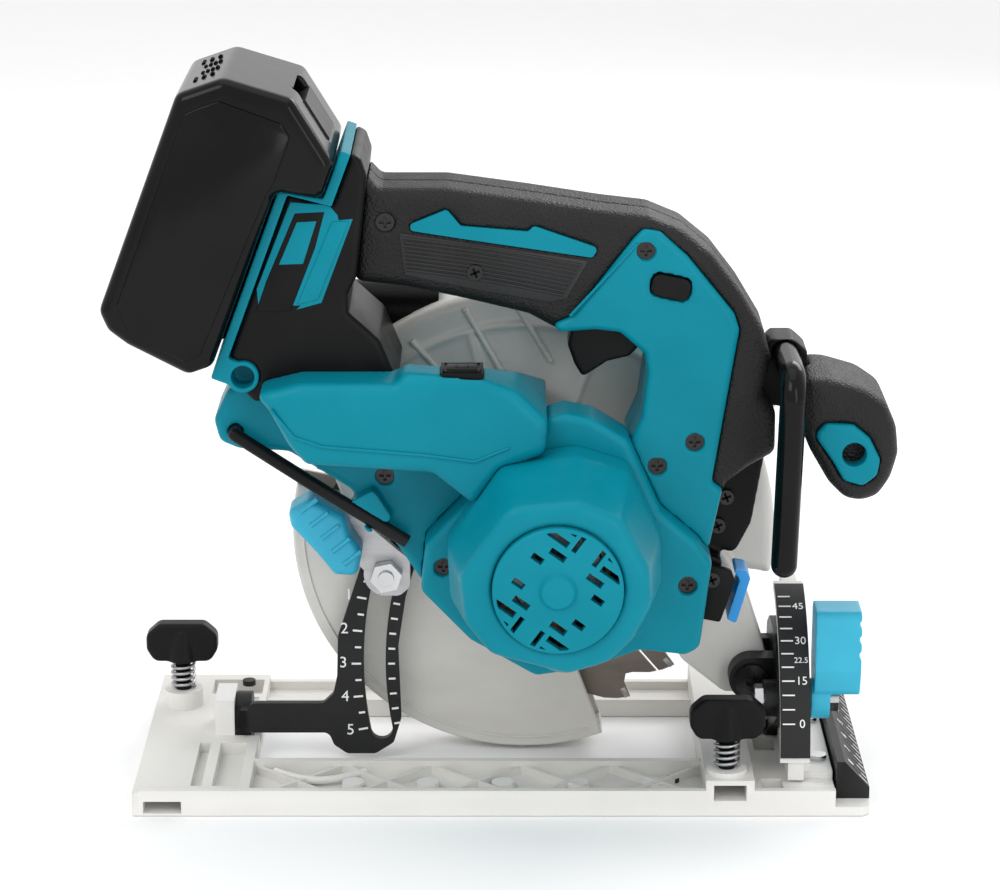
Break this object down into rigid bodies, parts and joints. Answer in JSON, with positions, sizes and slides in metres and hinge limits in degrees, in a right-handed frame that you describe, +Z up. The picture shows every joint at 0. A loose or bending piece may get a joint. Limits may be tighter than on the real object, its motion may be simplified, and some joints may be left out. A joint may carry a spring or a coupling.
{
  "type": "cordless circular saw",
  "caption": "Cordless circular saw with swinging lower guard, bevel quadrant, depth guide plate, open-frame base, D-handle, front grip, fold-out hook and slide-on battery pack.",
  "frame": {"origin": "on the sole plane, on the cutting line, straight below the depth pivot", "axes": "+X forward along the cut, +Y to the blade side away from the motor, +Z up from the sole"},
  "size_m": [0.2856, 0.1784, 0.2758],
  "materials": {
    "cast_base": "light grey textured casting",
    "dark_plate": "satin black",
    "bright_steel": "bright plated",
    "machined_steel": "machined",
    "case_grey": "satin silver grey",
    "guard_grey": "satin pale grey",
    "blade_steel": "ground disc",
    "teal_shell": "moulded teal",
    "black_rubber": "textured overmould",
    "black_plastic": "moulded black",
    "gloss_black": "gloss black",
    "blue_lever": "moulded light blue",
    "winding": "copper windings",
    "board_green": "potted board",
    "cell_wrap": "shrink wrapped cells"
  },
  "bodies": {
    "base": {"base_plate": "cast_base", "bevel_quadrant": "cast_base", "bevel_scale_plate": "dark_plate", "front_ruler": "dark_plate", "base_pins_and_screws": "bright_steel", "clamp_springs": "machined_steel"},
    "front_wing": {"front_wing_screw": "black_plastic"},
    "rear_wing": {"rear_wing_screw": "black_plastic"},
    "tilt_frame": {"tilt_bracket": "dark_plate", "depth_pivot_pin": "bright_steel", "depth_guide": "dark_plate", "bevel_clamp_bolt": "bright_steel"},
    "bevel_clamp": {"bevel_lever": "blue_lever"},
    "saw_body": {"blade_case": "case_grey", "dust_nozzle": "black_plastic", "stator": "winding", "bearings": "bright_steel", "guard_return_spring": "machined_steel", "gear_housing": "case_grey", "motor_housing": "teal_shell", "vent_cover": "teal_shell", "motor_flange": "teal_shell", "housing_screws": "bright_steel", "duct_housing": "teal_shell", "rear_housing": "teal_shell", "controller_board": "board_green", "mode_panel": "black_plastic", "grip_half_near": "black_rubber", "grip_half_far": "black_rubber", "pillar_cover_near": "teal_shell", "pillar_cover_far": "teal_shell", "grip_inlay": "teal_shell", "switch_body": "black_plastic", "battery_mount": "black_plastic", "mount_trim": "teal_shell", "terminal_block": "board_green", "front_grip": "black_rubber", "front_grip_cap": "teal_shell", "hook_bracket": "black_plastic", "front_cover": "black_plastic", "depth_lock_bolt": "bright_steel"},
    "blade_set": {"saw_blade": "blade_steel", "blade_flanges": "machined_steel", "blade_bolt": "machined_steel", "spindle": "machined_steel", "spindle_gear": "machined_steel"},
    "rotor": {"rotor_shaft": "machined_steel", "rotor_core": "machined_steel", "cooling_fan": "black_plastic"},
    "guard": {"lower_guard": "guard_grey"},
    "trigger_body": {"trigger": "black_plastic"},
    "lock_off": {"lock_off_button": "black_plastic"},
    "spindle_lock": {"shaft_lock": "blue_lever"},
    "depth_lever": {"depth_lever_arm": "machined_steel", "depth_lever_knob": "blue_lever"},
    "hook": {"hanging_hook": "gloss_black"},
    "battery": {"battery_case": "gloss_black", "battery_cells": "cell_wrap"},
    "latch": {"battery_latch": "black_plastic"},
    "wrench": {"hex_wrench": "dark_plate"}
  },
  "joints": [
    {"name": "bevel_tilt", "type": "hinge", "parent": "base", "child": "tilt_frame", "pos_m": [0, -0.008, 0.013], "axis": [-1, 0, 0], "range_deg": [0, 50]},
    {"name": "depth_swing", "type": "hinge", "parent": "tilt_frame", "child": "saw_body", "pos_m": [0, -0.022, 0.0393], "axis": [0, -1, 0], "range_deg": [0, 26]},
    {"name": "blade_spin", "type": "hinge", "parent": "saw_body", "child": "blade_set", "pos_m": [-0.0856, 0, 0.09], "axis": [0, 1, 0], "continuous": true},
    {"name": "rotor_spin", "type": "hinge", "parent": "saw_body", "child": "rotor", "pos_m": [-0.07489, -0.09, 0.10396], "axis": [0, 1, 0], "continuous": true},
    {"name": "guard_swing", "type": "hinge", "parent": "saw_body", "child": "guard", "pos_m": [-0.0856, 0, 0.09], "axis": [0, 1, 0], "range_deg": [0, 105], "stiffness_Nm_per_rad": 0.12, "springref_deg": -91.67},
    {"name": "trigger_pull", "type": "hinge", "parent": "saw_body", "child": "trigger_body", "pos_m": [-0.047, -0.045, 0.184], "axis": [0, 1, 0], "range_deg": [0, 14], "stiffness_Nm_per_rad": 0.4, "springref_deg": -17.19},
    {"name": "lock_off_push", "type": "slide", "parent": "saw_body", "child": "lock_off", "axis": [0, 1, 0], "range_m": [0, 0.004], "stiffness_N_per_m": 400, "springref_m": -0.003},
    {"name": "shaft_lock_push", "type": "slide", "parent": "saw_body", "child": "spindle_lock", "axis": [-1, 0, 0], "range_m": [0, 0.0018], "stiffness_N_per_m": 600, "springref_m": -0.003},
    {"name": "depth_lever_turn", "type": "hinge", "parent": "saw_body", "child": "depth_lever", "pos_m": [-0.138, -0.024, 0.077], "axis": [0, -1, 0], "range_deg": [0, 35]},
    {"name": "bevel_lever_turn", "type": "hinge", "parent": "tilt_frame", "child": "bevel_clamp", "pos_m": [0.028, -0.04998, 0.03627], "axis": [1, 0, 0], "range_deg": [0, 55]},
    {"name": "front_wing_turn", "type": "hinge", "parent": "base", "child": "front_wing", "pos_m": [-0.011, -0.0685, 0.03], "axis": [0, 0, 1], "continuous": true},
    {"name": "rear_wing_turn", "type": "hinge", "parent": "base", "child": "rear_wing", "pos_m": [-0.22, 0.016, 0.03], "axis": [0, 0, 1], "continuous": true},
    {"name": "hook_swing", "type": "hinge", "parent": "saw_body", "child": "hook", "pos_m": [0.009, -0.06, 0.169], "axis": [0, -1, 0], "range_deg": [0, 95]},
    {"name": "battery_slide", "type": "slide", "parent": "saw_body", "child": "battery", "axis": [0.3486, 0, 0.9373], "range_m": [0, 0.11]},
    {"name": "latch_press", "type": "slide", "parent": "battery", "child": "latch", "axis": [-0.8532, 0, -0.5215], "range_m": [0, 0.003], "stiffness_N_per_m": 600, "springref_m": -0.003},
    {"name": "wrench_pull", "type": "slide", "parent": "saw_body", "child": "wrench", "axis": [0, -1, 0], "range_m": [0, 0.045]}
  ],
  "couplings": [
    {"joint": "rotor_spin", "follows": "blade_spin", "ratio": -3.8889}
  ]
}
